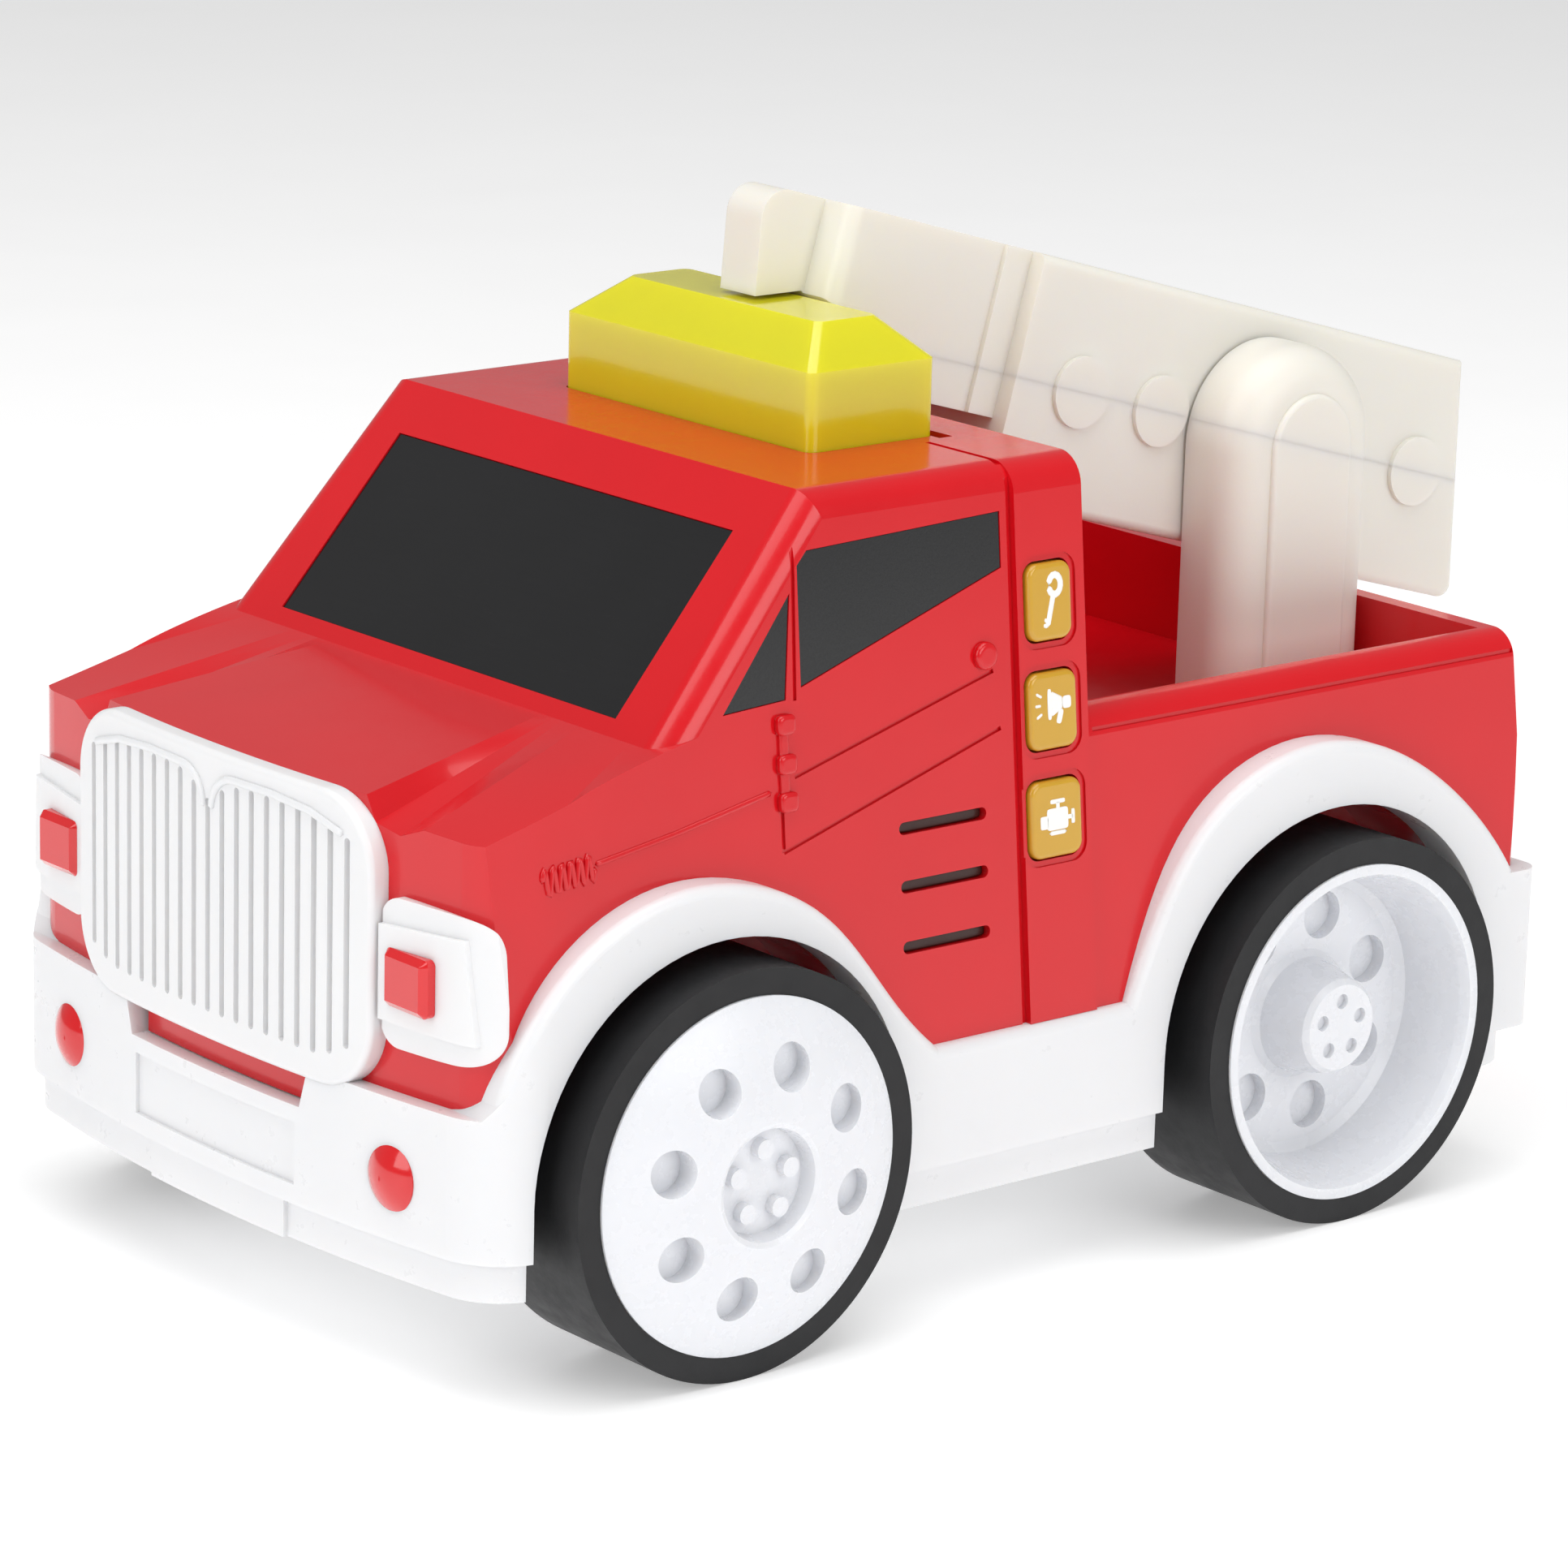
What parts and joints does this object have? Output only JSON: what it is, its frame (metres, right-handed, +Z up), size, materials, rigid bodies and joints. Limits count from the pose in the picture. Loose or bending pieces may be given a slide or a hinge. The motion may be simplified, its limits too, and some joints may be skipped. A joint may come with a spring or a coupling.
{
  "type": "toy fire truck",
  "caption": "Chunky push-along toy fire truck with turning wheels, press buttons, a roof light and a tilting boom on a post in the bed.",
  "frame": {"origin": "on the ground, under the middle of the truck's overall length and width", "axes": "+X towards the nose, +Y to the truck's left, +Z up"},
  "size_m": [0.2182, 0.1312, 0.145],
  "materials": {
    "red_body": "glossy moulded red ABS",
    "white_chassis": "semi-gloss moulded white plastic",
    "white_trim": "semi-gloss moulded white plastic",
    "white_wheel": "semi-gloss moulded white plastic",
    "red_lens": "glossy red plastic",
    "black_window": "glossy black plastic, fine brushed marks",
    "yellow_translucent": "clear yellow polystyrene",
    "yellow_button": "yellow translucent plastic",
    "circuit_green": "solder-masked board",
    "led_epoxy": "clear epoxy lamps",
    "switch_black": "moulded tact switches",
    "speaker_metal": "pressed steel frame, paper cone",
    "battery_can": "plain sleeved cells",
    "spring_steel": "nickel-plated spring steel",
    "black_tyre": "satin black soft plastic",
    "steel_axle": "drawn steel rod",
    "ivory_boom": "satin ivory plastic",
    "screw_steel": "zinc-plated self-tapping screws"
  },
  "bodies": {
    "truck_body": {"upper_body": "red_body", "lower_body": "white_chassis", "grille": "white_trim", "headlight_bezel_L": "white_trim", "headlight_bezel_R": "white_trim", "headlight_lens_L": "red_lens", "headlight_lens_R": "red_lens", "fog_lamp_L": "red_lens", "fog_lamp_R": "red_lens", "windscreen": "black_window", "side_window_L": "black_window", "side_window_R": "black_window", "vent_window_L": "black_window", "vent_window_R": "black_window", "light_bar": "yellow_translucent", "led_board": "circuit_green", "leds": "led_epoxy", "tact_switches": "switch_black", "switch_board": "circuit_green", "circuit_board": "circuit_green", "speaker": "speaker_metal", "batteries": "battery_can", "battery_contacts": "spring_steel", "battery_door": "white_chassis", "boom_post": "ivory_boom", "post_cap": "ivory_boom", "pivot_pin": "steel_axle", "body_screws": "screw_steel", "post_screws": "screw_steel", "door_screw": "screw_steel"},
    "front_wheels": {"hub_front_L": "white_wheel", "hub_front_R": "white_wheel", "tyre_front_L": "black_tyre", "tyre_front_R": "black_tyre", "axle_front": "steel_axle"},
    "rear_wheels": {"hub_rear_L": "white_wheel", "hub_rear_R": "white_wheel", "tyre_rear_L": "black_tyre", "tyre_rear_R": "black_tyre", "axle_rear": "steel_axle"},
    "boom": {"boom_upper_shell": "ivory_boom", "boom_lower_shell": "ivory_boom", "boom_screws": "screw_steel"},
    "button_key": {"button_key": "yellow_button"},
    "button_horn": {"button_horn": "yellow_button"},
    "button_engine": {"button_engine": "yellow_button"}
  },
  "joints": [
    {"name": "front_axle_spin", "type": "hinge", "parent": "truck_body", "child": "front_wheels", "pos_m": [0.0659, 0, 0.028], "axis": [0, 1, 0], "continuous": true},
    {"name": "rear_axle_spin", "type": "hinge", "parent": "truck_body", "child": "rear_wheels", "pos_m": [-0.0445, 0, 0.028], "axis": [0, 1, 0], "continuous": true},
    {"name": "boom_tilt", "type": "hinge", "parent": "truck_body", "child": "boom", "pos_m": [-0.0658, 0, 0.1034], "axis": [0, -1, 0], "range_deg": [0, 18]},
    {"name": "button_key_press", "type": "slide", "parent": "truck_body", "child": "button_key", "axis": [0, -0.9948, -0.1022], "range_m": [0, 0.0013], "stiffness_N_per_m": 400, "springref_m": -0.001},
    {"name": "button_horn_press", "type": "slide", "parent": "truck_body", "child": "button_horn", "axis": [0, -0.9948, -0.1022], "range_m": [0, 0.0013], "stiffness_N_per_m": 400, "springref_m": -0.001},
    {"name": "button_engine_press", "type": "slide", "parent": "truck_body", "child": "button_engine", "axis": [0, -0.9948, -0.1022], "range_m": [0, 0.0013], "stiffness_N_per_m": 400, "springref_m": -0.001}
  ]
}
